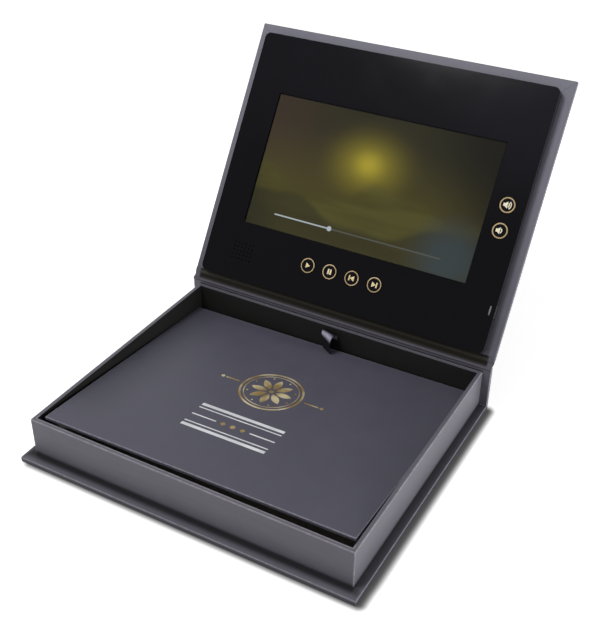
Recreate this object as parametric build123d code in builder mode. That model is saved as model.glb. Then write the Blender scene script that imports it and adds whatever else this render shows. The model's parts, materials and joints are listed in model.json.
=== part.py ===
from build123d import *
import os
from math import cos, radians, sin

os.makedirs("parts", exist_ok=True)

# A gift box of wrapped greyboard with a video screen in its lid. X is the box's width, +Y its
# hinge side and +Z up. The origin is the middle of the underside. The lid stands open.

# boards and papers
paper = 0.3  # covering paper, one layer
base_board_thickness = 2.8
spine_board_thickness = 2.0
lid_board_thickness = 2.4
wall_board_thickness = 1.9
floor_board_thickness = 1.5
flap_board_thickness = 1.5
turn_in = 15.0  # paper folded over a board's edge on to its other face
edge_round = 0.5  # wrapped edges

# base and tray
side_overhang = 5.0  # base beyond the tray
front_overhang = 7.2
tray_height = 24.2

# lid and hinge
open_angle = 123.0  # from closed, as it stands
lid_short = 1.4  # closed lid's free edge behind the base's front edge
hinge_gap = 3.6  # pivot to the lid board's near edge
pivot_sink = 1.4  # pivot below the lid's inner face when closed
spine_drop = 1.3  # spine's top below the pivot
rest_gap = 0.3  # closed screen panel above the tray's rim
inner_hinge_inset = 2.0  # inner hinge paper short of the lid's ends
hinge_paper_gap = 0.1
inner_hinge_bulge = 0.7
outer_hinge_bulge = 0.4

# screen panel on the lid
panel_side_margin = 6.8  # lid beyond the panel, each side
panel_far_margin = 6.6
panel_setback = 6.2  # pivot to the panel's near edge
panel_thickness = 5.8
panel_corner = 3.5
frame_wall = 4.0
face_thickness = 0.8

# screen
active_width = 154.08  # 7 inch, 16:9
active_height = 85.92
window_margin = 0.5
bezel_side_margin = 4.46  # metal frame beyond the lit area
bezel_end_margin = 5.54
bezel_wall = 0.6
bezel_floor = 0.4
bezel_lip = 0.3
glass_thickness = 1.2
backlight_thickness = 1.5
foam_inset = 8.0

# circuit boards and what they carry
circuit_thickness = 1.0
pad_thickness = 1.0  # adhesive foam under a circuit board
main_board_width = 26.0
board_side_gap = 0.5
board_near_gap = 0.3
board_screen_gap = 1.3
board_pad_inset = 9.0
board_pad_size = 9.0
chip_height = 1.0
chip_size = 9.0
chip_from_edge = 7.8  # main board's near edge to the chips' middle
chip_gap = 3.5
memory_length = 12.0
memory_width = 6.0
connector_length = 22.0
connector_width = 3.0
connector_height = 1.2
connector_inset = 2.0  # from the main board's left edge
connector_edge = 1.5  # from its far edge
flex_thickness = 0.2
lcd_flex_width = 20.0
button_flex_width = 6.0
button_flex_length = 6.3
battery_length = 88.0
battery_thickness = 4.0
battery_corner = 0.8
battery_screen_gap = 3.0
battery_wall_gap = 2.6
lead_diameter = 0.8
lead_pitch = 1.2
lead_gap = 0.2  # leads to the volume buttons' board
sensor_length = 10.0
sensor_diameter = 2.0
sensor_x = 60.0
magnet_diameter = 6.0
magnet_thickness = 1.5
magnet_below_rim = 8.0

# speaker
speaker_side_gap = 10.4  # to the panel's side wall
speaker_inset = 18.3  # panel's near edge to its middle
speaker_length = 24.0
speaker_width = 15.0
speaker_depth = 3.4
speaker_corner = 1.0
gasket_wall = 1.0
gasket_thickness = 1.0
sound_hole_diameter = 1.0
sound_hole_pitch = 2.6
sound_holes_across = 6
sound_holes_up = 5

# charging socket, micro size
socket_inset = 4.6  # main board's far edge to its middle
socket_width = 7.6
socket_height = 2.6
socket_depth = 5.6
socket_shell = 0.3
socket_mouth_depth = 4.6
tongue_width = 4.0
tongue_thickness = 0.6
slot_clearance = 0.3

# buttons
button_diameter = 10.2
button_clearance = 0.3
button_stand_out = 0.2
flange_width = 1.0
flange_thickness = 0.6
flange_gap = 0.1
button_travel = 0.3
press_clearance = 0.1
stem_diameter = 3.0
button_pitch = 15.6
button_row_x = -1.3
button_row_inset = 21.4  # panel's near edge to the row
volume_wall_gap = 0.5
volume_screen_gap = 0.7
switch_size = 4.5
switch_height = 1.5
button_board_margin = 6.0
button_edge = 0.15

# loose inner board with its ribbon
flap_side_gap = 2.0
flap_yaw = 0.85  # it lies slightly askew
flap_tilt = 5.37  # its back edge is low
flap_front_gap = 4.9  # tray's front lining to the board's front edge, at the middle
flap_back_gap = 1.9  # lying flat
flap_shift = 0.6
flap_below_rim = 2.4  # its front lower edge below the rim
support_thickness = 2.0
support_gap = 0.3
front_support_back = 9.0  # from the board's front edge
rear_support_forward = 11.0  # from the board's back edge
ribbon_width = 10.0
ribbon_shift = 3.0  # its middle, right of the board's
ribbon_thickness = 0.4
ribbon_glued = 7.0
ribbon_height = 14.6
ribbon_loop_depth = 6.0
ribbon_edge_gap = 0.5
ribbon_foot = 2.4

# sizes that follow: the panel goes round the screen, the lid round the panel, the case under the lid
base_thickness = base_board_thickness + 2 * paper
spine_thickness = spine_board_thickness + 2 * paper
lid_thickness = lid_board_thickness + 2 * paper
flap_thickness = flap_board_thickness + 2 * paper
wall_thickness = wall_board_thickness + 2 * paper
panel_wall = frame_wall + paper
flange_radius = button_diameter / 2 + flange_width
bezel_width = active_width + 2 * bezel_side_margin
bezel_height = active_height + 2 * bezel_end_margin
panel_side = volume_screen_gap + 2 * flange_radius + volume_wall_gap + panel_wall
panel_end = board_screen_gap + main_board_width + board_near_gap + panel_wall
panel_width = bezel_width + 2 * panel_side
panel_depth = bezel_height + 2 * panel_end
lid_reach = panel_setback + panel_depth + panel_far_margin
case_width = panel_width + 2 * panel_side_margin
base_depth = lid_reach + spine_thickness + lid_short
rim_z = base_thickness + tray_height
back_y = base_depth / 2
spine_inner_y = back_y - spine_thickness
tray_width = case_width - 2 * side_overhang
tray_front_y = -base_depth / 2 + front_overhang
tray_depth = spine_inner_y - tray_front_y
tray_y = (spine_inner_y + tray_front_y) / 2
inner_width = tray_width - 2 * wall_thickness
inner_depth = tray_depth - 2 * wall_thickness
flap_width = inner_width - 2 * flap_side_gap
flap_length = inner_depth - flap_front_gap - flap_back_gap
floor_z = base_thickness + floor_board_thickness + paper
pivot_y = spine_inner_y
pivot_z = rim_z + rest_gap + panel_thickness - pivot_sink
spine_top_z = pivot_z - spine_drop

# the lid's own plane: x along the hinge, y away from the pivot, z out of its inner face
opened = radians(open_angle)
lid_normal = Vector(0, -sin(opened), -cos(opened))
lid_up = Vector(0, -cos(opened), sin(opened))
pivot = Vector(0, pivot_y, pivot_z)
lid_plane = Plane(origin=pivot - lid_normal * pivot_sink, x_dir=(1, 0, 0), z_dir=lid_normal)
lid_middle = (lid_reach + hinge_gap) / 2
lid_length = lid_reach - hinge_gap
panel_middle = panel_setback + panel_depth / 2
frame_width = panel_width - 2 * paper
frame_depth = panel_depth - 2 * paper
cavity_width = frame_width - 2 * frame_wall
cavity_depth = frame_depth - 2 * frame_wall
face_back = panel_thickness - face_thickness
board_top = pad_thickness + circuit_thickness
main_board_near = panel_setback + panel_wall + board_near_gap
main_board_far = main_board_near + main_board_width
volume_x = cavity_width / 2 - volume_wall_gap - flange_radius
lead_x = cavity_width / 2 - lead_pitch
button_board_width = 2 * (lead_x - (lead_pitch + lead_diameter) / 2 - lead_gap - volume_x)
button_row_up = panel_setback + button_row_inset
speaker_x = speaker_length / 2 + speaker_side_gap - cavity_width / 2
speaker_up = panel_setback + speaker_inset
socket_up = main_board_far - socket_inset


def on_lid(x, up, height=0.0):
    """Plane on the lid at x, up from the pivot and height above the inner face."""
    middle = lid_plane.origin + lid_up * up + lid_normal * height
    return Plane(origin=middle + Vector(x, 0, 0), x_dir=(1, 0, 0), z_dir=lid_normal)


def keep(builder, label):
    builder.part.label = label
    export_step(builder.part, f"parts/{label}.step")
    box = builder.part.bounding_box()
    solids = len(builder.part.solids())
    volume = builder.part.volume
    print(f"{label:22} solids {solids} volume {volume:10.2f} z {box.min.Z:.2f} to {box.max.Z:.2f}")


def slab(label, plane, width, depth, thickness, corner=0.0):
    """A flat sheet or block on a plane, centred, with its upright edges rounded."""
    with BuildPart() as piece:
        with BuildSketch(plane):
            Rectangle(width, depth)
        extrude(amount=thickness)
        if corner > 0:
            fillet(piece.edges().filter_by(Axis(origin=(0, 0, 0), direction=plane.z_dir)), corner)
    keep(piece, label)


def wrapped(board_label, wrap_label, plane, width, depth, thickness, window_up):
    """A board and the paper round it, folded over its edges on to one face."""
    board_width = width - 2 * paper
    board_depth = depth - 2 * paper
    slab(board_label, plane.offset(paper), board_width, board_depth, thickness - 2 * paper)
    with BuildPart() as wrap:
        with BuildSketch(plane):
            Rectangle(width, depth)
        extrude(amount=thickness)
        fillet(wrap.edges(), edge_round)
        with BuildSketch(plane.offset(paper)):
            Rectangle(board_width, board_depth)
        extrude(amount=thickness - 2 * paper, mode=Mode.SUBTRACT)
        with BuildSketch(plane.offset(thickness - paper if window_up else 0)):
            Rectangle(width - 2 * turn_in, depth - 2 * turn_in)
        extrude(amount=paper, mode=Mode.SUBTRACT)
    keep(wrap, wrap_label)


# base
wrapped("base_board", "base_wrap", Plane.XY, case_width, base_depth, base_thickness, True)

# spine, standing on the base behind the tray
spine_y = back_y - spine_thickness / 2
spine_plane = Plane.XY.offset(base_thickness)
spine_height = spine_top_z - base_thickness
with BuildPart() as spine_board:
    with BuildSketch(spine_plane):
        with Locations((0, spine_y)):
            Rectangle(case_width - 2 * paper, spine_board_thickness)
    extrude(amount=spine_height - paper)
keep(spine_board, "spine_board")

with BuildPart() as spine_wrap:
    with BuildSketch(spine_plane):
        with Locations((0, spine_y)):
            Rectangle(case_width, spine_thickness)
    extrude(amount=spine_height)
    fillet(spine_wrap.edges().filter_by(Axis.Z) + spine_wrap.edges().group_by(Axis.Z)[-1], edge_round)
    with BuildSketch(spine_plane):
        with Locations((0, spine_y)):
            Rectangle(case_width - 2 * paper, spine_board_thickness)
    extrude(amount=spine_height - paper, mode=Mode.SUBTRACT)
keep(spine_wrap, "spine_wrap")

# tray: a floor and four walls, papered outside and lined inside
skin_width = tray_width - 2 * paper
skin_depth = tray_depth - 2 * paper
wall_height = tray_height - paper
lined_width = inner_width + 2 * paper
lined_depth = inner_depth + 2 * paper
tray_plane = Plane.XY.offset(base_thickness)
magnet_x = sensor_x
magnet_z = rim_z - magnet_below_rim

with BuildPart() as tray_floor:
    with BuildSketch(tray_plane):
        with Locations((0, tray_y)):
            Rectangle(lined_width, lined_depth)
    extrude(amount=floor_board_thickness)
keep(tray_floor, "tray_floor")

front_wall_y = tray_front_y + paper + wall_board_thickness / 2
back_wall_y = spine_inner_y - paper - wall_board_thickness / 2
magnet_plane = Plane(
    origin=(magnet_x, front_wall_y + wall_board_thickness / 2, magnet_z), x_dir=(1, 0, 0), z_dir=(0, -1, 0)
)
with BuildPart() as front_wall:
    with BuildSketch(tray_plane):
        with Locations((0, front_wall_y)):
            Rectangle(skin_width, wall_board_thickness)
    extrude(amount=wall_height)
    with BuildSketch(magnet_plane):
        Circle(magnet_diameter / 2)
    extrude(amount=magnet_thickness, mode=Mode.SUBTRACT)
keep(front_wall, "tray_front_wall")

with BuildPart() as trigger_magnet:
    with BuildSketch(magnet_plane):
        Circle(magnet_diameter / 2)
    extrude(amount=magnet_thickness)
keep(trigger_magnet, "trigger_magnet")

with BuildPart() as back_wall:
    with BuildSketch(tray_plane):
        with Locations((0, back_wall_y)):
            Rectangle(skin_width, wall_board_thickness)
    extrude(amount=wall_height)
keep(back_wall, "tray_back_wall")

for label, side in (("tray_left_wall", -1), ("tray_right_wall", 1)):
    with BuildPart() as side_wall:
        with BuildSketch(tray_plane):
            with Locations((side * (skin_width - wall_board_thickness) / 2, tray_y)):
                Rectangle(wall_board_thickness, lined_depth)
        extrude(amount=wall_height)
    keep(side_wall, label)

with BuildPart() as tray_wrap:
    with BuildSketch(tray_plane):
        with Locations((0, tray_y)):
            Rectangle(tray_width, tray_depth)
    extrude(amount=tray_height)
    fillet(tray_wrap.edges().filter_by(Axis.Z) + tray_wrap.edges().group_by(Axis.Z)[-1], edge_round)
    with BuildSketch(tray_plane):
        with Locations((0, tray_y)):
            Rectangle(skin_width, skin_depth)
    extrude(amount=wall_height, mode=Mode.SUBTRACT)
    with BuildSketch(tray_plane):
        with Locations((0, tray_y)):
            Rectangle(inner_width, inner_depth)
    extrude(amount=tray_height, mode=Mode.SUBTRACT)
keep(tray_wrap, "tray_wrap")

with BuildPart() as tray_lining:
    with BuildSketch(Plane.XY.offset(floor_z - paper)):
        with Locations((0, tray_y)):
            Rectangle(lined_width, lined_depth)
    extrude(amount=rim_z - paper - (floor_z - paper))
    with BuildSketch(Plane.XY.offset(floor_z)):
        with Locations((0, tray_y)):
            Rectangle(inner_width, inner_depth)
    extrude(amount=rim_z - floor_z, mode=Mode.SUBTRACT)
keep(tray_lining, "tray_lining")

# the loose inner board, tilted and slightly askew, turning up about its front lower edge
yaw = radians(flap_yaw)
tilt = radians(flap_tilt)
inner_front_y = tray_front_y + wall_thickness
flap_pivot = Vector(flap_shift, inner_front_y + flap_front_gap, rim_z - flap_below_rim)
flap_plane = Plane(
    origin=flap_pivot,
    x_dir=(cos(yaw), sin(yaw), 0),
    z_dir=(-sin(yaw) * sin(tilt), cos(yaw) * sin(tilt), cos(tilt)),
)
flap_centre = flap_plane.from_local_coords(Vector(0, flap_length / 2, 0))
flap_bed = Plane(origin=flap_centre, x_dir=flap_plane.x_dir, z_dir=flap_plane.z_dir)
wrapped("flap_board", "flap_wrap", flap_bed, flap_width, flap_length, flap_thickness, False)


def under_flap(x, y):
    """Height of the inner board's underside above a point of the tray's floor."""
    normal = flap_plane.z_dir
    return flap_pivot.Z - (normal.X * (x - flap_pivot.X) + normal.Y * (y - flap_pivot.Y)) / normal.Z


def support(label, near_y, far_y):
    """A strip of board across the tray, up to the inner board's lowest point over it."""
    half = inner_width / 2
    top = min(under_flap(x, y) for x in (-half, half) for y in (near_y, far_y)) - support_gap
    with BuildPart() as strip:
        with BuildSketch(Plane.XY.offset(floor_z)):
            with Locations((0, (near_y + far_y) / 2)):
                Rectangle(inner_width, far_y - near_y)
        extrude(amount=top - floor_z)
    keep(strip, label)


front_support_y = flap_pivot.Y + front_support_back
rear_support_y = flap_pivot.Y + flap_length * cos(tilt) - rear_support_forward
support("front_support", front_support_y, front_support_y + support_thickness)
support("rear_support", rear_support_y - support_thickness, rear_support_y)

# ribbon: glued under the board's back edge, up behind it and over in a loop
half_ribbon = ribbon_thickness / 2
ribbon_back = flap_length + ribbon_edge_gap + half_ribbon
ribbon_radius = ribbon_loop_depth / 2
ribbon_side = Plane(
    origin=flap_plane.from_local_coords(Vector(ribbon_shift - ribbon_width / 2, 0, 0)),
    x_dir=flap_plane.from_local_coords(Vector(0, 1, 0)) - flap_plane.origin,
    z_dir=flap_plane.x_dir,
)
with BuildPart() as ribbon:
    with BuildSketch(ribbon_side):
        with BuildLine():
            under = Line((flap_length - ribbon_glued, -half_ribbon), (flap_length, -half_ribbon))
            turn = TangentArc(under @ 1, (ribbon_back, ribbon_edge_gap), tangent=under % 1)
            rise = Line(turn @ 1, (ribbon_back, ribbon_height - ribbon_radius - half_ribbon))
            over = TangentArc(rise @ 1, (ribbon_back - ribbon_loop_depth, (rise @ 1).Y), tangent=rise % 1)
            fall = Line(over @ 1, ((over @ 1).X, flap_thickness + half_ribbon + ribbon_foot))
            TangentArc(fall @ 1, ((fall @ 1).X + ribbon_foot, (fall @ 1).Y - ribbon_foot), tangent=fall % 1)
        trace(line_width=ribbon_thickness)
    extrude(amount=ribbon_width)
keep(ribbon, "ribbon_pull")

# lid
lid_bed = on_lid(0, lid_middle, -lid_thickness)
wrapped("lid_board", "lid_wrap", lid_bed, case_width, lid_length, lid_thickness, True)

# paper over the hinge, inside and outside, as it lies with the lid open
lid_edge = Plane(origin=lid_plane.origin + lid_up * hinge_gap, x_dir=(1, 0, 0), z_dir=lid_normal)


def hinge_paper(label, spine_side_y, lid_depth, bulge, width):
    """A curved strip from the spine's top to the lid's near edge."""
    start = Vector(0, spine_side_y, spine_top_z + paper / 2 + hinge_paper_gap)
    end = lid_edge.origin - lid_up * hinge_paper_gap - lid_normal * lid_depth
    chord = end - start
    outward = Vector(0, chord.Z, -chord.Y).normalized()
    middle = (start + end) * 0.5 + outward * bulge
    with BuildPart() as strip:
        with BuildSketch(Plane(origin=(-width / 2, 0, 0), x_dir=(0, 1, 0), z_dir=(1, 0, 0))):
            with BuildLine():
                ThreePointArc((start.Y, start.Z), (middle.Y, middle.Z), (end.Y, end.Z))
            trace(line_width=paper)
        extrude(amount=width)
    keep(strip, label)


inner_hinge_width = case_width - 2 * inner_hinge_inset
hinge_paper("inner_hinge_paper", spine_inner_y + edge_round, paper / 2, -inner_hinge_bulge, inner_hinge_width)
outer_hinge_depth = lid_thickness - edge_round
hinge_paper("outer_hinge_paper", back_y - edge_round, outer_hinge_depth, outer_hinge_bulge, case_width)

# screen panel: adhesive sheet, board frame, its side paper and the black face
tape_width = case_width - 2 * turn_in
tape_depth = lid_length - 2 * turn_in
slab("panel_tape", on_lid(0, lid_middle, -paper), tape_width, tape_depth, paper)

socket_outer_x = panel_width / 2
slot_plane = Plane(
    origin=on_lid(socket_outer_x, socket_up, board_top + socket_height / 2).origin,
    x_dir=lid_up, z_dir=(1, 0, 0),
)
slot_width = socket_width + 2 * slot_clearance
slot_height = socket_height + 2 * slot_clearance

with BuildPart() as panel_frame:
    with BuildSketch(on_lid(0, panel_middle)):
        RectangleRounded(frame_width, frame_depth, panel_corner - paper)
        Rectangle(cavity_width, cavity_depth, mode=Mode.SUBTRACT)
    extrude(amount=face_back)
    with BuildSketch(slot_plane):
        Rectangle(slot_width, slot_height)
    extrude(amount=-(frame_wall + 2 * paper), mode=Mode.SUBTRACT)
keep(panel_frame, "panel_frame")

with BuildPart() as panel_wrap:
    with BuildSketch(on_lid(0, panel_middle)):
        RectangleRounded(panel_width, panel_depth, panel_corner)
        RectangleRounded(frame_width, frame_depth, panel_corner - paper, mode=Mode.SUBTRACT)
    extrude(amount=face_back)
    with BuildSketch(slot_plane):
        Rectangle(slot_width, slot_height)
    extrude(amount=-(frame_wall + 2 * paper), mode=Mode.SUBTRACT)
keep(panel_wrap, "panel_wrap")

row_names = ("play", "pause", "previous", "next")
row_length = (len(row_names) - 1) * button_pitch
row_start = button_row_x - row_length / 2
row_board_length = row_length + 2 * button_board_margin
row_board_right = button_row_x + row_board_length / 2
buttons = {name: (row_start + i * button_pitch, button_row_up) for i, name in enumerate(row_names)}
buttons["volume_up"] = (volume_x, panel_middle + button_pitch / 2)
buttons["volume_down"] = (volume_x, panel_middle - button_pitch / 2)
window_width = active_width + 2 * window_margin
window_height = active_height + 2 * window_margin

with BuildPart() as panel_face:
    with BuildSketch(on_lid(0, panel_middle, face_back)):
        RectangleRounded(panel_width, panel_depth, panel_corner)
        Rectangle(window_width, window_height, mode=Mode.SUBTRACT)
        for x, up in buttons.values():
            with Locations((x, up - panel_middle)):
                Circle(button_diameter / 2 + button_clearance, mode=Mode.SUBTRACT)
        with Locations((speaker_x, speaker_up - panel_middle)):
            with GridLocations(sound_hole_pitch, sound_hole_pitch, sound_holes_across, sound_holes_up):
                Circle(sound_hole_diameter / 2, mode=Mode.SUBTRACT)
    extrude(amount=face_thickness)
keep(panel_face, "panel_face")

slab("screen_window", on_lid(0, panel_middle, face_back), window_width, window_height, face_thickness)

# display: glass over backlight in a pressed metal tray, on foam
glass_back = face_back - glass_thickness
backlight_back = glass_back - backlight_thickness
bezel_back = backlight_back - bezel_floor
module_width = bezel_width - 2 * bezel_wall
module_height = bezel_height - 2 * bezel_wall
slab("lcd_glass", on_lid(0, panel_middle, glass_back), module_width, module_height, glass_thickness)
backlight_bed = on_lid(0, panel_middle, backlight_back)
slab("lcd_backlight", backlight_bed, module_width, module_height, backlight_thickness)

with BuildPart() as lcd_bezel:
    with BuildSketch(on_lid(0, panel_middle, bezel_back)):
        Rectangle(bezel_width, bezel_height)
    extrude(amount=face_back - bezel_lip - bezel_back)
    with BuildSketch(on_lid(0, panel_middle, backlight_back)):
        Rectangle(module_width, module_height)
    extrude(amount=face_back - backlight_back, mode=Mode.SUBTRACT)
keep(lcd_bezel, "lcd_bezel")

foam_width = bezel_width - 2 * foam_inset
foam_height = bezel_height - 2 * foam_inset
slab("lcd_foam", on_lid(0, panel_middle), foam_width, foam_height, bezel_back)

# main board in the lower right corner, with its socket in the panel's side
board_right_x = cavity_width / 2 - board_side_gap
board_left_x = row_board_right + button_flex_length
main_board_length = board_right_x - board_left_x
main_board_x = (board_left_x + board_right_x) / 2
main_board_up = (main_board_near + main_board_far) / 2
board_pad_pitch = main_board_length - 2 * board_pad_inset
with BuildPart() as main_board:
    with BuildSketch(on_lid(main_board_x, main_board_up, pad_thickness)):
        Rectangle(main_board_length, main_board_width)
    extrude(amount=circuit_thickness)
    with BuildSketch(on_lid(main_board_x, main_board_up)):
        with GridLocations(board_pad_pitch, 0, 2, 1):
            Rectangle(board_pad_size, board_pad_size)
    extrude(amount=pad_thickness)
keep(main_board, "main_board")

chip_up = main_board_near + chip_from_edge
memory_x = main_board_x + chip_size / 2 + chip_gap + memory_length / 2
slab("processor_chip", on_lid(main_board_x, chip_up, board_top), chip_size, chip_size, chip_height)
slab("memory_chip", on_lid(memory_x, chip_up, board_top), memory_length, memory_width, chip_height)

bezel_near = panel_middle - bezel_height / 2
connector_x = board_left_x + connector_inset + connector_length / 2
connector_up = main_board_far - connector_edge - connector_width / 2
slab(
    "lcd_connector", on_lid(connector_x, connector_up, board_top),
    connector_length, connector_width, connector_height,
)
flex_start = connector_up + connector_width / 2
slab(
    "lcd_flex", on_lid(connector_x, (flex_start + bezel_near) / 2, board_top),
    lcd_flex_width, bezel_near - flex_start, flex_thickness,
)

with BuildPart() as usb_socket:
    with BuildSketch(slot_plane):
        Rectangle(socket_width, socket_height)
    extrude(amount=-socket_depth)
    with BuildSketch(slot_plane):
        Rectangle(socket_width - 2 * socket_shell, socket_height - 2 * socket_shell)
        Rectangle(tongue_width, tongue_thickness, mode=Mode.SUBTRACT)
    extrude(amount=-socket_mouth_depth, mode=Mode.SUBTRACT)
keep(usb_socket, "usb_socket")

# battery above the screen, its leads down the right side
battery_near = panel_middle + bezel_height / 2 + battery_screen_gap
battery_width = panel_setback + panel_depth - panel_wall - battery_wall_gap - battery_near
battery_up = battery_near + battery_width / 2
slab("battery", on_lid(0, battery_up), battery_length, battery_width, battery_thickness, battery_corner)


def leads(label, points):
    """A pair of thin insulated wires lying on the board, side by side along straight runs."""
    with BuildPart() as pair:
        for shift in (-lead_pitch / 2, lead_pitch / 2):
            with BuildSketch(on_lid(0, 0)):
                with BuildLine():
                    Polyline([(x + shift, up + shift) for x, up in points])
                trace(line_width=lead_diameter)
        extrude(amount=lead_diameter)
    keep(pair, label)


leads(
    "battery_leads",
    [
        (battery_length / 2 + lead_pitch, battery_up),
        (lead_x, battery_up),
        (lead_x, main_board_far + lead_pitch),
    ],
)

# speaker behind its holes
speaker_front = face_back - gasket_thickness
slab(
    "speaker", on_lid(speaker_x, speaker_up, speaker_front - speaker_depth),
    speaker_length, speaker_width, speaker_depth, speaker_corner,
)
with BuildPart() as speaker_gasket:
    with BuildSketch(on_lid(speaker_x, speaker_up, speaker_front)):
        Rectangle(speaker_length, speaker_width)
        Rectangle(speaker_length - 2 * gasket_wall, speaker_width - 2 * gasket_wall, mode=Mode.SUBTRACT)
    extrude(amount=gasket_thickness)
keep(speaker_gasket, "speaker_gasket")
speaker_lead_up = main_board_near + lead_pitch
leads(
    "speaker_leads",
    [
        (speaker_x + speaker_length / 2 + lead_pitch, speaker_lead_up),
        (board_left_x - lead_pitch, speaker_lead_up),
    ],
)

# lid sensor over the tray's magnet
sensor_up = panel_setback + panel_depth - panel_wall - sensor_diameter
with BuildPart() as lid_sensor:
    with BuildSketch(
        Plane(
            origin=on_lid(sensor_x - sensor_length / 2, sensor_up, face_back - sensor_diameter / 2).origin,
            x_dir=lid_up, z_dir=(1, 0, 0),
        )
    ):
        Circle(sensor_diameter / 2)
    extrude(amount=sensor_length)
keep(lid_sensor, "lid_sensor")

# button boards, switches and buttons
with BuildPart() as button_board:
    with BuildSketch(on_lid(button_row_x, button_row_up, pad_thickness)):
        Rectangle(row_board_length, button_board_width)
    extrude(amount=circuit_thickness)
    with BuildSketch(on_lid(button_row_x, button_row_up)):
        with GridLocations(button_pitch, 0, len(row_names) - 1, 1):
            Rectangle(button_board_margin, button_board_width)
    extrude(amount=pad_thickness)
keep(button_board, "button_board")

slab(
    "button_flex", on_lid((row_board_right + board_left_x) / 2, button_row_up, pad_thickness),
    button_flex_length, button_flex_width, flex_thickness,
)

volume_board_length = button_pitch + 2 * button_board_margin
with BuildPart() as volume_board:
    with BuildSketch(on_lid(volume_x, panel_middle, pad_thickness)):
        Rectangle(button_board_width, volume_board_length)
    extrude(amount=circuit_thickness)
    with BuildSketch(on_lid(volume_x, panel_middle)):
        Rectangle(button_board_width, button_board_margin)
    extrude(amount=pad_thickness)
keep(volume_board, "volume_board")

volume_board_near = panel_middle - volume_board_length / 2
slab(
    "volume_flex", on_lid(volume_x, (volume_board_near + main_board_far) / 2, pad_thickness),
    button_flex_width, volume_board_near - main_board_far, flex_thickness,
)

switch_top = board_top + switch_height
flange_top = face_back - flange_gap
flange_back = flange_top - flange_thickness
stem_end = switch_top + button_travel + press_clearance
button_top = panel_thickness + button_stand_out
for name, (x, up) in buttons.items():
    slab(f"{name}_switch", on_lid(x, up, board_top), switch_size, switch_size, switch_height)
    with BuildPart() as button:
        with BuildSketch(on_lid(x, up, flange_back)):
            Circle(button_diameter / 2)
        extrude(amount=button_top - flange_back)
        chamfer(button.edges().group_by(Axis(origin=(0, 0, 0), direction=lid_normal))[-1], button_edge)
        with BuildSketch(on_lid(x, up, flange_back)):
            Circle(flange_radius)
        extrude(amount=flange_thickness)
        with BuildSketch(on_lid(x, up, stem_end)):
            Circle(stem_diameter / 2)
        extrude(amount=flange_back - stem_end)
    keep(button, f"{name}_button")

print(f"pivot {pivot_y:.3f} {pivot_z:.3f} flap pivot {flap_pivot}")
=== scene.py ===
import json
import math

import bmesh
import bpy
from mathutils import Matrix, Vector


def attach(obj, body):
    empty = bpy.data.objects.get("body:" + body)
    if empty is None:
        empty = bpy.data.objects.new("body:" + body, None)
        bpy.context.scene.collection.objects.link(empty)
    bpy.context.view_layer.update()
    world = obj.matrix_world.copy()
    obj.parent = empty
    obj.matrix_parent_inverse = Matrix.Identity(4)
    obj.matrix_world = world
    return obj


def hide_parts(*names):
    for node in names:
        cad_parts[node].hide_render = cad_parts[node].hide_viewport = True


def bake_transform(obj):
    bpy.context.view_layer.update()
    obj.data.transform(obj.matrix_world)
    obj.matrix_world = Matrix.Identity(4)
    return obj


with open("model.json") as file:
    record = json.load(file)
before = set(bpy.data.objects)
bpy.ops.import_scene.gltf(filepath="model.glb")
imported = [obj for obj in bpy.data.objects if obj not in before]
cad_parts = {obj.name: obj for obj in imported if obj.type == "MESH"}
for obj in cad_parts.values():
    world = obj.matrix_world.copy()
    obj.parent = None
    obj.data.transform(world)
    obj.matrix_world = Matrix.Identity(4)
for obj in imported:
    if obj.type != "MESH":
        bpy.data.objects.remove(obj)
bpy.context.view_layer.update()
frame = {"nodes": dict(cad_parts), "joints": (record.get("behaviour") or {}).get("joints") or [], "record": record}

nodes = frame["nodes"]
joints = {joint["name"]: joint for joint in frame["joints"]}
mm = 0.001
black = (0, 0, 0, 1)
white = (1, 1, 1, 1)


# places: each has its own x, y and z, and a piece is shaped in millimetres there
def makePlace(origin, across, along):
    across = Vector(across).normalized()
    out = across.cross(Vector(along)).normalized()
    along = out.cross(across)
    turn = Matrix((across, along, out)).transposed().to_4x4()
    return Matrix.Translation(origin) @ turn


pivotSink = 1.4 * mm  # hinge line under the lid's inner face
innerBoardTilt = 5.37  # degrees, back edge down
lidOut = -Vector(joints["play_press"]["axis"])
lidUp = Vector((0, lidOut.z, -lidOut.y))
pivot = Vector(joints["lid_hinge"]["pos_m"])
worldPlace = Matrix.Identity(4)
lidPlace = makePlace(pivot - pivotSink * lidOut, (1, 0, 0), lidUp)
boardAcross = Vector(joints["inner_board_tilt"]["axis"])
boardLevel = Vector((-boardAcross.y, boardAcross.x, 0))  # along the board before it tips
boardAlong = Matrix.Rotation(math.radians(-innerBoardTilt), 3, boardAcross) @ boardLevel
boardPlace = makePlace(joints["inner_board_tilt"]["pos_m"], boardAcross, boardAlong)


def nodeBox(name, place):  # a node's middle and half size in a place's millimetres
    inverse = place.inverted()
    points = [inverse @ vertex.co / mm for vertex in nodes[name].data.vertices]
    low = Vector(min(point[i] for point in points) for i in range(3))
    high = Vector(max(point[i] for point in points) for i in range(3))
    return (low + high) / 2, (high - low) / 2


def tone(red, green, blue):  # a colour as it looks, 0 to 255, to the light that it gives
    def linear(value):
        value = value / 255
        return value / 12.92 if value <= 0.04045 else ((value + 0.055) / 1.055) ** 2.4
    return (linear(red), linear(green), linear(blue), 1)


def shade(colour, share):  # the same colour, lighter or darker
    return tuple(channel * share for channel in colour[:3]) + (1,)


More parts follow.
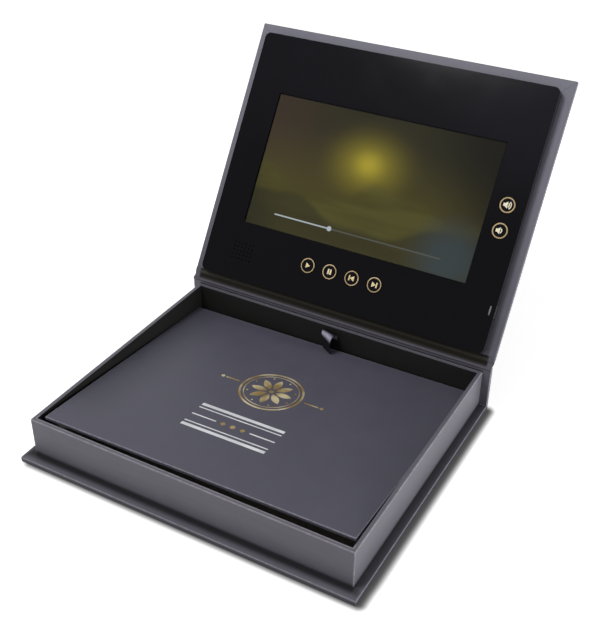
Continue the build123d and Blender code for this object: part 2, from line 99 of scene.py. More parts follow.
# node sums: a socket that adds and multiplies, and the graph of nodes that it belongs to
class Link:
    def __init__(self, graph, socket):
        self.graph = graph
        self.socket = socket

    def sum(self, operation, *values):
        return self.graph.node("ShaderNodeMath", {"operation": operation}, dict(enumerate(values)))

    def __add__(self, other):
        return self.sum("ADD", self, other)

    __radd__ = __add__

    def __sub__(self, other):
        return self.sum("SUBTRACT", self, other)

    def __rsub__(self, other):
        return self.sum("SUBTRACT", other, self)

    def __mul__(self, other):
        return self.sum("MULTIPLY", self, other)

    __rmul__ = __mul__

    def least(self, other):
        return self.sum("MINIMUM", self, other)

    def most(self, other):
        return self.sum("MAXIMUM", self, other)

    def size(self):
        return self.sum("ABSOLUTE", self)

    def root(self):
        return self.sum("SQRT", self)

    def wave(self, length):  # 0 to 1 and back once in each length
        return self.sum("SINE", self * (2 * math.pi / length)) * 0.5 + 0.5


class Graph:
    def __init__(self, tree):
        self.tree = tree
        tree.nodes.clear()

    def node(self, kind, settings=None, inputs=None, output=0):
        made = self.tree.nodes.new(kind)
        for key, value in (settings or {}).items():
            setattr(made, key, value)
        for key, value in (inputs or {}).items():
            if isinstance(value, Link):
                self.tree.links.new(value.socket, made.inputs[key])
            else:
                made.inputs[key].default_value = value
        return Link(self, made.outputs[output]) if made.outputs else None

    def seenDirectly(self):  # 1 for the camera's, a mirror's and a glass's rays
        path = self.node("ShaderNodeLightPath").socket.node
        rays = ("Is Camera Ray", "Is Glossy Ray", "Is Transmission Ray")
        camera, mirror, glass = (Link(self, path.outputs[name]) for name in rays)
        return camera.most(mirror).most(glass)

    def fade(self, value, start, end):  # 0 at the start, 1 at the end
        inputs = {"Value": value, "From Min": start, "From Max": end}
        return self.node("ShaderNodeMapRange", {"interpolation_type": "SMOOTHSTEP"}, inputs)

    def mix(self, first, second, factor):
        inputs = {0: factor, 6: first, 7: second}
        return self.node("ShaderNodeMix", {"data_type": "RGBA"}, inputs, output=2)


class Finish(Graph):  # a material: millimetres in a place, or flat on the piece's own UV map
    def __init__(self, name, place=worldPlace, flat=False):
        self.material = bpy.data.materials.new(name)
        self.material.use_nodes = True
        super().__init__(self.material.node_tree)
        inverse = place.inverted()
        here = self.node("ShaderNodeTexCoord", output="UV" if flat else "Object")
        inputs = {"Vector": here, "Location": inverse.translation / mm, "Rotation": inverse.to_euler()}
        inputs["Scale"] = (1 if flat else 1 / mm,) * 3
        self.here = self.node("ShaderNodeMapping", inputs=inputs)
        parts = self.node("ShaderNodeSeparateXYZ", inputs={0: self.here}).socket.node
        self.x, self.y, self.z = (Link(self, socket) for socket in parts.outputs)

    def stretch(self, x=1, y=1, z=1):
        return self.node("ShaderNodeMapping", inputs={"Vector": self.here, "Scale": (x, y, z)})

    def noise(self, size, detail=2, vector=None):  # 0 to 1, in patches of about that size
        inputs = {"Vector": vector or self.here, "Scale": 1 / size, "Detail": detail, "Roughness": 0.5}
        return self.node("ShaderNodeTexNoise", inputs=inputs)

    def cells(self, size, distance="EUCLIDEAN"):
        inputs = {"Vector": self.here, "Scale": 1 / size}
        return self.node("ShaderNodeTexVoronoi", {"distance": distance}, inputs)

    def edge(self, middle, half):  # millimetres to the nearest edge of a box
        x = half.x - (self.x - middle.x).size()
        y = half.y - (self.y - middle.y).size()
        z = half.z - (self.z - middle.z).size()
        return x.least(y).most(x.most(y).least(z))

    def finish(self, colour, rough, height=None, depth=0, specular=0.5, **others):  # depth: of the relief
        inputs = {"Base Color": colour, "Roughness": rough, "Specular IOR Level": specular}
        if height:
            relief = {"Height": height, "Distance": depth * mm, "Strength": 1}
            inputs["Normal"] = self.node("ShaderNodeBump", inputs=relief)
        for key, value in others.items():
            inputs["".join(" " + c if c.isupper() else c for c in key).title()] = value
        surface = self.node("ShaderNodeBsdfPrincipled", inputs=inputs)
        self.node("ShaderNodeOutputMaterial", inputs={"Surface": surface})
        return self.material


def dress(material, *names):
    for name in names:
        nodes[name].data.materials.clear()
        nodes[name].data.materials.append(material)


# camera, as the photograph was taken
camera = {
    "place": (0.24690, -0.40031, 0.39178), "azimuth": 29.08, "elevation": 33.51, "roll": 0.57,
    "lens": 58.21, "sensor": 36,
}


def addCamera():
    azimuth, elevation, roll = (math.radians(camera[key]) for key in ("azimuth", "elevation", "roll"))
    level = math.cos(elevation)
    back = Vector((math.sin(azimuth) * level, -math.cos(azimuth) * level, math.sin(elevation)))
    right = -back.cross(Vector((0, 0, 1)))
    right.normalize()
    up = back.cross(right)
    tiltedRight = right * math.cos(roll) + up * math.sin(roll)
    tiltedUp = up * math.cos(roll) - right * math.sin(roll)
    turn = Matrix((tiltedRight, tiltedUp, back)).transposed().to_4x4()
    bpy.ops.object.camera_add()
    view = bpy.context.object
    view.matrix_world = Matrix.Translation(camera["place"]) @ turn
    view.data.lens = camera["lens"]
    view.data.sensor_width = camera["sensor"]
    bpy.context.scene.camera = view


# studio: a plain sky, three lamps (place, size, power) and a pale floor with a painted shadow close to the base
studio = {
    "skyLight": 0.24, "aim": (0, 0.02, 0.07),
    "lamps": {
        "right": ((1.05, 0.10, 0.13), 0.5, 8.2),
        "left": ((-0.90, -0.75, 0.20), 0.4, 1.2),
        "above": ((-0.40, -0.50, 1.20), 0.5, 8.2),
    },
    "floorSize": 9.0, "floorDrop": 0.2, "floorColour": (0.86, 0.86, 0.86, 1), "floorGlow": 0.72,
    "shadowMiddle": (3, 0), "shadowHalf": (103, 86.0), "shadowWidth": 7.0,
    "shadowColour": (0.07, 0.07, 0.07, 1),
}


def addLamp(name, place, size, power):
    bpy.ops.object.light_add(type="AREA", location=place)
    lamp = bpy.context.object
    lamp.name = name
    lamp.data.shape = "DISK"
    lamp.data.size = size
    lamp.data.energy = power
    lamp.rotation_euler = (Vector(studio["aim"]) - Vector(place)).to_track_quat("-Z", "Y").to_euler()


def addSky():
    world = bpy.data.worlds.new("studio")
    bpy.context.scene.world = world
    world.use_nodes = True
    graph = Graph(world.node_tree)
    level = graph.seenDirectly() * (1 - studio["skyLight"]) + studio["skyLight"]
    sky = graph.node("ShaderNodeBackground", inputs={"Color": white, "Strength": level})
    graph.node("ShaderNodeOutputWorld", inputs={"Surface": sky})


def floorFinish():
    made = Finish("pale_floor")
    (middleX, middleY), (halfX, halfY) = studio["shadowMiddle"], studio["shadowHalf"]
    outsideX = ((made.x - middleX).size() - halfX).most(0)
    outsideY = ((made.y - middleY).size() - halfY).most(0)
    outside = (outsideX * outsideX + outsideY * outsideY).root()
    clearOfPaintedShadow = 1 - made.fade(outside, studio["shadowWidth"], 0)  # painted shadow: the floor's colour and glow are darkened close to the base
    clearOfPaintedShadow = clearOfPaintedShadow * clearOfPaintedShadow
    colour = made.mix(studio["shadowColour"], studio["floorColour"], clearOfPaintedShadow)
    lit = made.mix(studio["shadowColour"], white, clearOfPaintedShadow)
    strength = made.seenDirectly() * studio["floorGlow"]
    matt = made.node("ShaderNodeBsdfDiffuse", inputs={"Color": colour})
    glow = made.node("ShaderNodeEmission", inputs={"Color": lit, "Strength": strength})
    both = made.node("ShaderNodeAddShader", inputs={0: matt, 1: glow})
    made.node("ShaderNodeOutputMaterial", inputs={"Surface": both})
    return made.material


def addFloor():
    bpy.ops.mesh.primitive_plane_add(size=studio["floorSize"], location=(0, 0, -studio["floorDrop"] * mm))
    floor = bpy.context.object
    floor.name = "floor"
    floor.data.materials.append(floorFinish())


bpy.context.scene.view_settings.view_transform = "Standard"
bpy.ops.object.select_all(action="DESELECT")
addCamera()
addSky()
for lampName, (lampPlace, lampSize, lampPower) in studio["lamps"].items():
    addLamp(lampName + "_lamp", lampPlace, lampSize, lampPower)
addFloor()
print("camera and studio are in place")


# paper: what each sheet looks like, and what all of them share
coverPaper = {
    "colour": tone(101, 99, 108), "wearAndHighlightColour": tone(168, 165, 175), "mottle": 0.10, "streak": 0.10,
    "grain": 0.16, "grainDepth": 0.012, "roughness": 0.44, "specular": 0.30, "wearAndHighlightWidth": 0.9, "wear": 0.75,
}
basePaper = dict(coverPaper, colour=tone(104, 102, 111), specular=0.15, wear=0.5)
# the cover paper made lighter on the lid: painted light
litLidPaper = dict(coverPaper, colour=tone(118, 117, 130), wear=0.15)
insertPaper = dict(
    coverPaper, colour=tone(86, 85, 98), wearAndHighlightColour=tone(160, 158, 170),
    mottle=0.09, streak=0.05, roughness=0.5, wear=0.8,
)
liningPaper = dict(
    coverPaper, colour=tone(33, 33, 32), wearAndHighlightColour=tone(44, 43, 40), roughness=0.62, specular=0.14, wear=0.2,
)
panelPaper = dict(
    coverPaper, colour=tone(34, 33, 36), wearAndHighlightColour=tone(70, 69, 74), roughness=0.5, specular=0.2, wear=0.3,
)
paperGrain = {
    "patch": 14, "felt": 1.3, "feltHeight": 0.8, "stretch": (0.9, 0.03), "fine": 0.12,
    "shades": (0.5, 1.5), "patchRough": 0.12, "fineRough": 0.16, "wornRough": 0.15,
    "scuff": 2.6, "scuffed": (0.36, 0.66), "wearAndHighlightLeast": 0.55,
    "seamWidth": (0.16, 0.05), "seamStart": (0.1, 0.4), "seamShade": 0.45, "seam": 0.8, "seamDepth": 5,
    "lapHeight": 3,
}
# painted shade: where each sheet is darkened for shade, the start and end of each fade in millimetres, and by how
# much
paintedShades = {
    "shade": 0.06, "depth": 0.92,
    "deck": {
        "reach": (6.0, 1.4), "above": (3.0, 3.3), "strength": 0.83,
        "front": (-80, -82), "frontMore": 0.17, "right": (101, 102), "rightLess": 0.22,
        "edge": (3.1, 2.2), "edgeStrength": 0.5, "edgeRight": (104, 105.6), "edgeRightMore": 0.2,
    },
    "rim": {"foot": (6.4, 3.4)},
    "spine": {"top": (28.6, 27.9), "face": (86.9, 86.6), "ends": (101.4, 100.8)},
    "insert": {"left": (-62, -96), "back": (2, 40), "strength": 0.42},
    "lid": {"edge": (0.9, 0.2), "edgeStrength": 0.35, "hinge": (125, 0), "hingeStrength": 0.48},
}
rimWall = {"thickness": 2.5, "front": (-77, -72), "away": 9}


def trayOutline(made, grow):  # millimetres outside a line round the tray, grown or shrunk by that much
    middle, half = nodeBox("tray_wrap", worldPlace)
    x = (made.x - middle.x).size() - (half.x + grow)
    y = (made.y - middle.y).size() - (half.y + grow)
    return x.most(y)


def paintedShadeOf(fold, made, nearEdge):  # how far a sheet is darkened by painted shade, 0 to 1
    look = paintedShades[fold]

    def fade(value, key):
        return made.fade(value, *look[key])

    if fold == "deck":  # painted shade where the tray meets the base, and down the base's own outer sides
        more = fade(made.y, "front") * look["frontMore"]
        strength = more - fade(made.x, "right") * look["rightLess"] + look["strength"]
        line = fade(trayOutline(made, 0), "reach") * fade(made.z, "above") * strength
        edgeStrength = fade(made.x, "edgeRight") * look["edgeRightMore"] + look["edgeStrength"]
        return line.most(fade(made.z, "edge") * edgeStrength)
    if fold == "rim":  # painted shade at the foot of the tray's wall
        return fade(made.z, "foot")
    if fold == "spine":  # painted shade on the spine's face, low down where it stands behind the tray's back wall
        return fade(made.z, "top") * fade(made.y, "face") * fade(made.x.size(), "ends")
    if fold == "insert":  # painted shade along its left side
        return fade(made.x, "left") * fade(made.y, "back") * look["strength"]
    edge = fade(nearEdge, "edge") * look["edgeStrength"]  # the lid: painted shade where it turns away over the board's edge
    return edge.most(fade(made.y, "hinge") * look["hingeStrength"])  # and painted shade towards the hinge


def paperFinish(name, look, place, middle=None, half=None, mitre=False, streakAlong="y", fold=None):
    made = Finish(name, place)
    short, long = paperGrain["stretch"]
    fine = made.noise(look["grain"], 3)
    patches = made.noise(paperGrain["patch"], 3)
    streaks = made.noise(1, 3, made.stretch(*((short, long) if streakAlong == "y" else (long, short)), short))
    mottle = (patches - 0.5) * (2 * look["mottle"]) + (streaks - 0.5) * (2 * look["streak"])
    level = mottle + (fine - 0.5) * paperGrain["fine"] + 0.5
    dark, pale = (shade(look["colour"], share) for share in paperGrain["shades"])
    colour = made.mix(dark, pale, level)
    rough = (patches - 0.5) * paperGrain["patchRough"] + (fine - 0.5) * paperGrain["fineRough"]
    rough = rough + look["roughness"]
    height = fine + made.noise(paperGrain["felt"], 2) * paperGrain["feltHeight"]
    if half is not None:
        nearEdge = made.edge(middle, half)
        if fold == "rim":  # the rim's inner edge is rubbed and carries the painted highlight too, along the front only
            inner = trayOutline(made, -rimWall["thickness"]).size().most(middle.z + half.z - made.z)
            nearEdge = nearEdge.least(inner + made.fade(made.y, *rimWall["front"]) * rimWall["away"])
        # rubbed, scuffed edges, together with a painted highlight where rounded edges catch the light
        scuffs = made.fade(made.noise(paperGrain["scuff"], 4), *paperGrain["scuffed"])
        share = paperGrain["wearAndHighlightLeast"] + (1 - paperGrain["wearAndHighlightLeast"]) * scuffs
        wornAndHighlit = made.fade(nearEdge, look["wearAndHighlightWidth"], 0.1) * share * look["wear"]
        colour = made.mix(colour, look["wearAndHighlightColour"], wornAndHighlit)
        rough = rough + wornAndHighlit * paperGrain["wornRough"]
    if mitre:  # the folded paper meets at 45 degrees in the corners
        x = half.x - (made.x - middle.x).size()
        y = half.y - (made.y - middle.y).size()
        turnedIn = made.fade(made.z, middle.z, middle.z + 0.5)
        corner = made.fade(x.least(y), *paperGrain["seamStart"])
        seam = made.fade((x - y).size(), *paperGrain["seamWidth"]) * corner * turnedIn
        colour = made.mix(colour, shade(look["colour"], paperGrain["seamShade"]), seam * paperGrain["seam"])
        lap = made.fade(x - y, -0.1, 0.1) * turnedIn * paperGrain["lapHeight"]
        height = height - seam * paperGrain["seamDepth"] + lap
    # painted shade: each sheet darkened where shade falls on it
    if fold:
        paintedShade = paintedShadeOf(fold, made, nearEdge) * paintedShades["depth"]
        colour = made.mix(colour, shade(look["colour"], paintedShades["shade"]), paintedShade)
    return made.finish(colour, rough, height, look["grainDepth"], specular=look["specular"])


for nodeName, look, place, mitred, along, fold in (
    ("base_wrap", basePaper, worldPlace, True, "x", "deck"),
    ("spine_wrap", coverPaper, worldPlace, False, "x", "spine"),
    ("tray_wrap", coverPaper, worldPlace, True, "x", "rim"),
    ("lid_wrap", litLidPaper, lidPlace, True, "y", "lid"),
    ("panel_wrap", panelPaper, lidPlace, False, "y", None),
    ("flap_wrap", insertPaper, boardPlace, False, "y", "insert"),
    ("tray_lining", liningPaper, worldPlace, False, "x", None),
):
    box = nodeBox(nodeName, place)
    dress(paperFinish(nodeName + "_paper", look, place, *box, mitred, along, fold), nodeName)

# greyboard under the paper
greyboard = {
    "colour": tone(158, 152, 144), "dark": tone(112, 106, 98), "pale": tone(196, 190, 180),
    "fibre": 0.35, "shades": (0.82, 1.15), "flecks": (0.66, 0.72), "spots": (0.68, 0.74),
    "roughness": 0.85, "specular": 0.2, "depth": 0.06,
}


def greyboardFinish():
    made = Finish("pressed_greyboard")
    darker, lighter = (shade(greyboard["colour"], share) for share in greyboard["shades"])
    fibre = made.noise(greyboard["fibre"], 4, made.stretch(1, 0.3, 2.5))
    flecks = made.fade(made.noise(0.8, 2), *greyboard["flecks"])
    spots = made.fade(made.noise(1.1, 2, made.stretch(1.3, 1.1, 1)), *greyboard["spots"])
    colour = made.mix(darker, lighter, fibre)
    colour = made.mix(colour, greyboard["pale"], flecks * 0.6)
    colour = made.mix(colour, greyboard["dark"], spots * 0.7)
    rough = fibre * 0.1 + greyboard["roughness"]
    return made.finish(colour, rough, fibre, greyboard["depth"], specular=greyboard["specular"])


slots = {row["node"]: row["material_slot"] for row in frame["record"]["subparts"]}
dress(greyboardFinish(), *[name for name, slot in slots.items() if slot == "greyboard"])
print("paper and board are dressed")


# the panel's face, window and keys
# pale: the colour of a painted reflection, laid towards the face's far right corner
blackFace = {
    "colour": tone(6, 6, 12), "pale": tone(40, 39, 46), "dusty": 2.2, "roughness": 0.11, "specular": 0.075,
    "reflectionUp": (70, 155), "reflectionRight": (-20, 95), "haze": 0.45,
}
clearWindow = {"colour": (0.02, 0.02, 0.02, 1), "alpha": 0.05, "roughness": 0.08, "specular": 0.0}


def blackFinish(name):
    made = Finish(name, lidPlace)
    smudge = made.fade(made.noise(22, 3), 0.45, 0.75)
    dust = made.fade(made.noise(0.5, 1), 0.76, 0.8)
    ripple = made.noise(9, 1)
    dusty = shade(blackFace["colour"], blackFace["dusty"])
    colour = made.mix(blackFace["colour"], dusty, dust * 0.6 + smudge * 0.25)
    right = made.fade(made.x, *blackFace["reflectionRight"]) * 0.6 + 0.4
    haze = made.fade(made.y, *blackFace["reflectionUp"]) * right * blackFace["haze"]  # painted reflection, most in the far right corner
    colour = made.mix(colour, blackFace["pale"], haze)
    rough = smudge * 0.03 + dust * 0.2 + blackFace["roughness"]
    return made.finish(colour, rough, ripple, 0.02, specular=blackFace["specular"])


def windowFinish():
    made = Finish("clear_window", lidPlace)
    wipe = made.noise(6, 3, made.stretch(0.2, 1, 1))
    rough = wipe * 0.05 + clearWindow["roughness"]
    colour, alpha, specular = (clearWindow[key] for key in ("colour", "alpha", "specular"))
    return made.finish(colour, rough, alpha=alpha, specular=specular)


dress(blackFinish("gloss_black_face"), "panel_face")
dress(blackFinish("gloss_black_keys"), *[name for name in nodes if name.endswith("_button")])
dress(windowFinish(), "screen_window")


# what the panel hides
innerColours = {
    "foam": (tone(30, 30, 30), tone(68, 67, 66)),
    "solderMask": (tone(12, 70, 38), tone(30, 104, 58)), "pads": tone(214, 176, 92),
    "flex": (tone(176, 116, 44), tone(120, 70, 22)),
    "pouch": (tone(196, 197, 200), tone(222, 222, 224)), "pouchTape": tone(206, 164, 74),
    "lead": (tone(150, 26, 22), tone(178, 40, 32)),
    "lightGuide": (tone(224, 225, 220), tone(244, 244, 240)),
    "chip": tone(36, 36, 37), "nylon": tone(222, 216, 200),
    "steel": tone(186, 187, 190), "socket": tone(198, 197, 192), "magnet": tone(190, 190, 186),
    "contact": tone(226, 188, 104),
}
padSize, trackPitch, tapeWidth = 3.4, 0.8, 7.1


def metalFinish(name, colour, rough, along=(0.05, 2.5, 2.5), place=lidPlace):
    made = Finish(name, place)
    brushed = made.noise(0.5, 3, made.stretch(*along))
    stain = made.noise(7, 2)
    shown = made.mix(shade(colour, 0.86), colour, brushed * 0.6 + stain * 0.4)
    return made.finish(shown, brushed * 0.14 + rough, brushed, 0.01, metallic=1.0)


def mouldedFinish(name, colour, rough):
    made = Finish(name, lidPlace)
    fine = made.noise(0.12, 2)
    shown = made.mix(shade(colour, 0.85), shade(colour, 1.12), made.noise(3, 2) * 0.5 + fine * 0.5)
    return made.finish(shown, fine * 0.12 + rough, fine, 0.012, specular=0.4)


def foamFinish():
    made = Finish("black_foam", lidPlace)
    pores = made.cells(0.45)
    colour = made.mix(*innerColours["foam"], made.fade(pores, 0.1, 0.6))
    return made.finish(colour, 0.95, pores, 0.1, specular=0.1)


def circuitFinish():
    made = Finish("green_circuit_board", lidPlace)
    areas = made.fade(made.cells(2.5, "CHEBYCHEV"), 0.42, 0.5)
    lines = made.fade((made.x + made.y).wave(1.1), 0.72, 0.8) * areas
    pads = made.fade(made.cells(padSize), 0.13, 0.10)
    colour = made.mix(*innerColours["solderMask"], lines)
    colour = made.mix(colour, innerColours["pads"], pads)
    return made.finish(colour, 0.42 - pads * 0.14, lines + pads * 0.5, 0.03, metallic=pads)


def flexFinish():
    made = Finish("amber_flex", lidPlace)
    tracks = made.fade(made.x.wave(trackPitch), 0.45, 0.6)
    colour = made.mix(*innerColours["flex"], tracks)
    return made.finish(colour, tracks * 0.06 + 0.3, tracks, 0.02)


def batteryFinish():
    made = Finish("battery_pouch", lidPlace)
    crumple = made.noise(5, 4)
    middle, half = nodeBox("battery", lidPlace)
    tape = made.fade(half.x - (made.x - middle.x).size(), tapeWidth + 0.1, tapeWidth - 0.1)
    colour = made.mix(*innerColours["pouch"], crumple)
    colour = made.mix(colour, innerColours["pouchTape"], tape)
    return made.finish(colour, crumple * 0.2 + 0.28, crumple, 0.35, metallic=1 - tape)


def leadFinish():
    made = Finish("lead_insulation", lidPlace)
    fine = made.noise(0.6, 2)
    colour = made.mix(*innerColours["lead"], fine)
    return made.finish(colour, fine * 0.1 + 0.4, fine, 0.01, specular=0.45)


def diffuserFinish():
    made = Finish("milky_light_guide", lidPlace)
    dots = made.fade(made.cells(0.6), 0.28, 0.2)
    colour = made.mix(*innerColours["lightGuide"], dots)
    return made.finish(colour, 0.35, dots, 0.01)


slotFinishes = {
    "foam": foamFinish(),
    "circuit_board": circuitFinish(),
    "flex_film": flexFinish(),
    "chip_black": mouldedFinish("black_moulded_case", innerColours["chip"], 0.55),
    "connector_white": mouldedFinish("ivory_nylon", innerColours["nylon"], 0.45),
    "battery_foil": batteryFinish(),
    "lead_insulation": leadFinish(),
    "diffuser": diffuserFinish(),
    "pressed_steel": metalFinish("pressed_steel", innerColours["steel"], 0.34),
    "plated_steel": metalFinish("plated_socket_shell", innerColours["socket"], 0.22),
    "magnet_plate": metalFinish("plated_magnet", innerColours["magnet"], 0.2, (2.5, 0.05, 2.5), worldPlace),
}
for name, slot in slots.items():
    if slot in slotFinishes:
        dress(slotFinishes[slot], name)
print("inner parts are dressed")

# modelling helpers: everything is deselected before an operator, and parts are picked by their place
smoothAngle = 35


def clearSelection():
    if bpy.context.object and bpy.context.object.mode != "OBJECT":
        bpy.ops.object.mode_set(mode="OBJECT")
    bpy.ops.object.select_all(action="DESELECT")


def selectOnly(piece):
    clearSelection()
    bpy.context.view_layer.objects.active = piece
    piece.select_set(True)


def openPiece(piece):
    selectOnly(piece)
    bpy.ops.object.mode_set(mode="EDIT")
    bpy.ops.mesh.select_mode(type="FACE")


def pick(piece, kind, test):
    shape = bmesh.from_edit_mesh(piece.data)
    bpy.ops.mesh.select_all(action="DESELECT")
    for element in getattr(shape, kind):
        if test(element):
            element.select_set(True)
    shape.select_flush_mode()
    bmesh.update_edit_mesh(piece.data)


def closePiece(piece, smooth=True):
    bpy.ops.object.mode_set(mode="OBJECT")
    if smooth:
        bpy.ops.object.shade_smooth_by_angle(angle=math.radians(smoothAngle))
    return piece


def settle(piece, name, place, body, material):  # places a finished shape and hands it to its body
    selectOnly(piece)
    bpy.ops.object.transform_apply(location=True, rotation=True, scale=True)
    piece.data.transform(place @ Matrix.Scale(mm, 4))
    piece.name = name
    piece.data.materials.clear()
    piece.data.materials.append(material)
    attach(piece, body)
    return piece


def joinAll(pieces):
    clearSelection()
    for piece in pieces:
        piece.select_set(True)
    bpy.context.view_layer.objects.active = pieces[0]
    bpy.ops.object.join()
    return pieces[0]


def raiseAll(height):  # gives the open, flat piece its thickness
    bpy.ops.mesh.select_all(action="SELECT")
    bpy.ops.mesh.extrude_region_move(TRANSFORM_OT_translate={"value": (0, 0, height)})


def faceOutwards():
    bpy.ops.mesh.select_all(action="SELECT")
    bpy.ops.mesh.normals_make_consistent(inside=False)


def plate(outline, bottom, top, soften=0.0):  # a flat shape of that outline, raised, its upper edge eased
    bpy.ops.mesh.primitive_circle_add(vertices=len(outline), radius=1, fill_type="NGON", location=(0, 0, 0))
    piece = bpy.context.object
    for vertex, (x, y) in zip(piece.data.vertices, outline):
        vertex.co = (x, y, bottom)
    openPiece(piece)
    raiseAll(top - bottom)
    if soften:
        pick(piece, "edges", lambda edge: all(v.co.z > (top + bottom) / 2 for v in edge.verts))
        bpy.ops.mesh.bevel(offset=soften, segments=2)
    faceOutwards()
    return closePiece(piece, smooth=not soften)


def ring(outer, stroke, bottom, top, sides=64):
    bpy.ops.mesh.primitive_circle_add(vertices=sides, radius=outer, fill_type="NGON", location=(0, 0, bottom))
    piece = bpy.context.object
    openPiece(piece)
    bpy.ops.mesh.select_all(action="SELECT")
    bpy.ops.mesh.inset(thickness=stroke, depth=0)
    pick(piece, "faces", lambda face: len(face.verts) > 4)
    bpy.ops.mesh.delete(type="FACE")
    raiseAll(top - bottom)
    faceOutwards()
    closePiece(piece)
    selectOnly(piece)
    bpy.ops.object.transform_apply(location=True, rotation=True, scale=True)
    return piece


def copyTurned(piece, turn):
    other = piece.copy()
    other.data = piece.data.copy()
    bpy.context.scene.collection.objects.link(other)
    other.data.transform(Matrix.Rotation(math.radians(turn), 4, "Z"))
    return other


def bar(x, y, width, height, bottom, top, soften=0.0):
    corners = ((-1, -1), (1, -1), (1, 1), (-1, 1))
    return plate([(x + sx * width / 2, y + sy * height / 2) for sx, sy in corners], bottom, top, soften)


def disc(x, y, radius, bottom, top, sides=40):
    turns = [2 * math.pi * i / sides for i in range(sides)]
    return plate([(x + radius * math.cos(a), y + radius * math.sin(a)) for a in turns], bottom, top)


def arc(x, y, radius, width, halfAngle, bottom, top, steps=14):
    turns = [math.radians(-halfAngle + 2 * halfAngle * i / steps) for i in range(steps + 1)]
    radii = (radius + width / 2, radius - width / 2)
    outer, inner = ([(x + r * math.cos(a), y + r * math.sin(a)) for a in turns] for r in radii)
    return plate(outer + inner[::-1], bottom, top)


# foils and inks: highlight colour, darker colour, roughness, metallic; the first is a painted highlight laid in
# broad patches
foils = {
    "gold_ring_print": (tone(196, 174, 134), tone(162, 140, 100), 0.36, 0.3),
    "gold_symbol_print": (tone(255, 238, 190), tone(250, 222, 168), 0.4, 0.0),
    "cream_symbol_print": (tone(255, 253, 232), tone(254, 246, 216), 0.45, 0.0),
    "gold_board_foil": (tone(240, 226, 184), tone(164, 138, 84), 0.34, 0.45),
    "white_board_print": (tone(246, 246, 250), tone(224, 224, 230), 0.45, 0.0),
    "pale_socket_mark": (tone(128, 128, 120), tone(104, 104, 98), 0.45, 0.0),
}


def foilFinish(name, place):
    made = Finish(name, place)
    paintedHighlight, dark, rough, metallic = foils[name]
    grain = made.noise(0.5, 3)
    highlightPatches = made.noise(11, 1)
    colour = made.mix(dark, paintedHighlight, made.fade(highlightPatches * 0.8 + grain * 0.2, 0.38, 0.66))
    return made.finish(colour, grain * 0.14 + rough, grain, 0.012, metallic=metallic, specular=0.4)


ringPrint, goldPrint, creamPrint = (
    foilFinish(name, lidPlace) for name in ("gold_ring_print", "gold_symbol_print", "cream_symbol_print")
)
boardGold, boardWhite = (foilFinish(name, boardPlace) for name in ("gold_board_foil", "white_board_print"))

# printed ring and symbol of each key; the first symbols' shares are of "symbol", half of their height
keyPrints = {
    "keys": ("play", "pause", "previous", "next", "volume_up", "volume_down"),
    "outer": 4.72, "stroke": 0.62, "creamStroke": 0.75, "lift": 0.045, "sink": 0.02,
    "symbol": 1.68, "triangleBack": 0.75, "pausePlace": 0.47, "pauseWidth": 0.66,
    "skipShift": 0.4, "skipPlace": 0.95, "skipWidth": 0.5,
    "horn": ((-2.5, -0.95), (-1.45, -0.95), (0.1, -2.1), (0.1, 2.1), (-1.45, 0.95), (-2.5, 0.95)),
    "wavePlace": -0.5, "waveWidth": 0.66, "waves": ((1.6, 52), (2.75, 50)),
}


def keySymbol(name, low, high):
    s = keyPrints["symbol"]
    right = [(-keyPrints["triangleBack"] * s, -s), (s, 0), (-keyPrints["triangleBack"] * s, s)]
    if name == "play":
        return [plate(right, low, high)]
    if name == "pause":
        place, width = keyPrints["pausePlace"] * s, keyPrints["pauseWidth"] * s
        return [bar(side * place, 0, width, 2 * s, low, high) for side in (-1, 1)]
    if name in ("previous", "next"):
        way = 1 if name == "next" else -1
        points = [(way * (x - keyPrints["skipShift"]), y) for x, y in right][::way]
        end = bar(way * keyPrints["skipPlace"] * s, 0, keyPrints["skipWidth"] * s, 2 * s, low, high)
        return [plate(points, low, high), end]
    shapes = [plate(keyPrints["horn"], low, high)]
    for radius, halfAngle in keyPrints["waves"][:2 if name == "volume_up" else 1]:
        shapes.append(arc(keyPrints["wavePlace"], 0, radius, keyPrints["waveWidth"], halfAngle, low, high))
    return shapes


def addKeyPrints():
    for name in keyPrints["keys"]:
        middle, half = nodeBox(name + "_button", lidPlace)
        top = middle.z + half.z
        low, high = top - keyPrints["sink"], top + keyPrints["lift"]
        cream = name.startswith("volume")
        symbol = joinAll(keySymbol(name, low, high))
        circle = ring(keyPrints["outer"], keyPrints["creamStroke" if cream else "stroke"], low, high)
        prints = ((symbol, "_symbol", creamPrint if cream else goldPrint), (circle, "_ring", ringPrint))
        for piece, label, material in prints:
            piece.data.transform(Matrix.Translation((middle.x, middle.y, 0)))
            settle(piece, name + label, lidPlace, name + "_key", material)


addKeyPrints()
print("keys are printed")

# display: the lit glass under the window, and the plain landscape that it shows
display = {
    "drop": 0.08, "edge": 0.3, "soften": 0.15, "glow": 1.0, "glass": tone(4, 4, 4), "litHalf": (77.04, 42.96),
}
picture = {
    "top": tone(48, 46, 32), "left": tone(60, 50, 40), "haze": tone(84, 78, 34), "far": tone(72, 68, 32),
    "ground": tone(82, 80, 40), "near": tone(44, 42, 30), "dusk": tone(18, 18, 16),
    "glow": tone(206, 188, 60), "glowPlace": (-4, 11.6),
    "glowWide": (1.7, 47, 0.36), "glowTight": (1.4, 20, 0.26),  # flatness, reach, strength
    "farHill": {"ridges": ((96, 6, 10), (37, 2.2, 4)), "level": 7, "edge": (4, -5), "depth": 0.82},
    "nearHill": {"ridges": ((128, 7, -36), (44, 1.8, 9)), "level": 24, "edge": (2.5, -3), "depth": 0.6},
    "farRough": 14, "duskSides": ((0.5, 34, 92, 0.75), (0.6, -62, -104, 0.45)),
    "cool": tone(58, 68, 72), "coolPlace": (62, -32), "coolReach": (32, 6), "coolDepth": 0.85,
    "bar": tone(176, 186, 190), "line": tone(84, 86, 80), "barY": -33, "barHalf": 58, "barThick": (0.55, 0.3),
    "playedX": -18, "knob": (1.8, 1.4),
}


